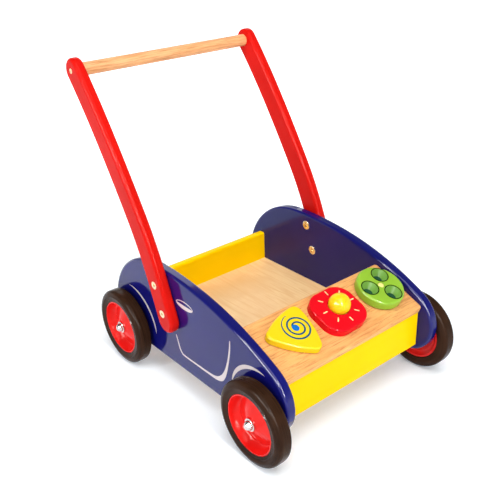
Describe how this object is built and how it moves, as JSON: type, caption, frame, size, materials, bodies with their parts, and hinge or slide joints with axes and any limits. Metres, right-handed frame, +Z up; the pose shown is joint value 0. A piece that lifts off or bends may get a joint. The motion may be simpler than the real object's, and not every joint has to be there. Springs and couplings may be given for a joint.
{
  "type": "baby walker",
  "caption": "Push-along wooden baby walker: open cargo cart on rubber-tyred wheels with a bent-arm handle and an activity shelf of spinners and a squeaker button.",
  "frame": {"origin": "on the ground under the middle of the object's bounding box", "axes": "+Z up, the cart's nose and activity shelf face -Y, the handle is at +Y, +X is to the right as seen from the front; left and right in node names are as seen from the front"},
  "size_m": [0.342, 0.4356, 0.445],
  "materials": {
    "navy_paint": "gloss paint on board",
    "red_paint": "gloss paint on board",
    "yellow_paint": "gloss paint on board",
    "green_paint": "gloss paint on turned wood",
    "natural_wood": "clear varnish",
    "plywood": "clear varnish",
    "pale_pin": "painted",
    "tyre_rubber": "satin",
    "red_plastic": "gloss",
    "white_plastic": "satin",
    "bellows_rubber": "matte",
    "felt": "felt",
    "chrome": "polished",
    "steel": "zinc plated",
    "nickel_brass": "pale plated"
  },
  "bodies": {
    "cart": {"side_panel_left": "navy_paint", "side_panel_right": "navy_paint", "front_panel": "yellow_paint", "rear_panel": "yellow_paint", "floor_panel": "plywood", "floor_cleats": "natural_wood", "activity_shelf": "natural_wood", "assembly_dowels": "natural_wood", "handle_arm_left": "red_paint", "handle_arm_right": "red_paint", "handle_bar": "natural_wood", "handle_bar_screws": "steel", "arm_bolts": "nickel_brass", "barrel_nuts": "nickel_brass", "axle_front": "steel", "axle_rear": "steel", "axle_caps": "chrome", "wheel_washers": "steel", "sun_plate": "red_paint", "squeaker_bellows": "bellows_rubber", "squeaker_housing": "white_plastic", "housing_screws": "steel", "pivot_washer": "steel", "felt_washers": "felt", "disc_pivot_pin": "pale_pin"},
    "triangle": {"triangle_spinner": "yellow_paint", "triangle_pivot_screw": "steel"},
    "finger_disc": {"well_disc": "green_paint"},
    "sun": {"sun_button": "yellow_paint", "button_retainer": "white_plastic"},
    "wheel_front_left": {"tyre_front_left": "tyre_rubber", "hub_front_left": "red_plastic"},
    "wheel_front_right": {"tyre_front_right": "tyre_rubber", "hub_front_right": "red_plastic"},
    "wheel_rear_left": {"tyre_rear_left": "tyre_rubber", "hub_rear_left": "red_plastic"},
    "wheel_rear_right": {"tyre_rear_right": "tyre_rubber", "hub_rear_right": "red_plastic"}
  },
  "joints": [
    {"name": "front_left_roll", "type": "hinge", "parent": "cart", "child": "wheel_front_left", "pos_m": [-0.1552, -0.1603, 0.0575], "axis": [1, 0, 0], "continuous": true},
    {"name": "front_right_roll", "type": "hinge", "parent": "cart", "child": "wheel_front_right", "pos_m": [0.1552, -0.1603, 0.0575], "axis": [1, 0, 0], "continuous": true},
    {"name": "rear_left_roll", "type": "hinge", "parent": "cart", "child": "wheel_rear_left", "pos_m": [-0.1552, 0.1396, 0.0575], "axis": [1, 0, 0], "continuous": true},
    {"name": "rear_right_roll", "type": "hinge", "parent": "cart", "child": "wheel_rear_right", "pos_m": [0.1552, 0.1396, 0.0575], "axis": [1, 0, 0], "continuous": true},
    {"name": "triangle_spin", "type": "hinge", "parent": "cart", "child": "triangle", "pos_m": [-0.0719, -0.13906, 0.13567], "axis": [0, -0.3836, 0.9235], "continuous": true},
    {"name": "disc_spin", "type": "hinge", "parent": "cart", "child": "finger_disc", "pos_m": [0.0873, -0.13925, 0.13559], "axis": [0, -0.3836, 0.9235], "continuous": true},
    {"name": "sun_press", "type": "slide", "parent": "cart", "child": "sun", "axis": [0, 0.3836, -0.9235], "range_m": [0, 0.003], "stiffness_N_per_m": 700, "springref_m": -0.001, "deforming": ["squeaker_bellows"]}
  ]
}
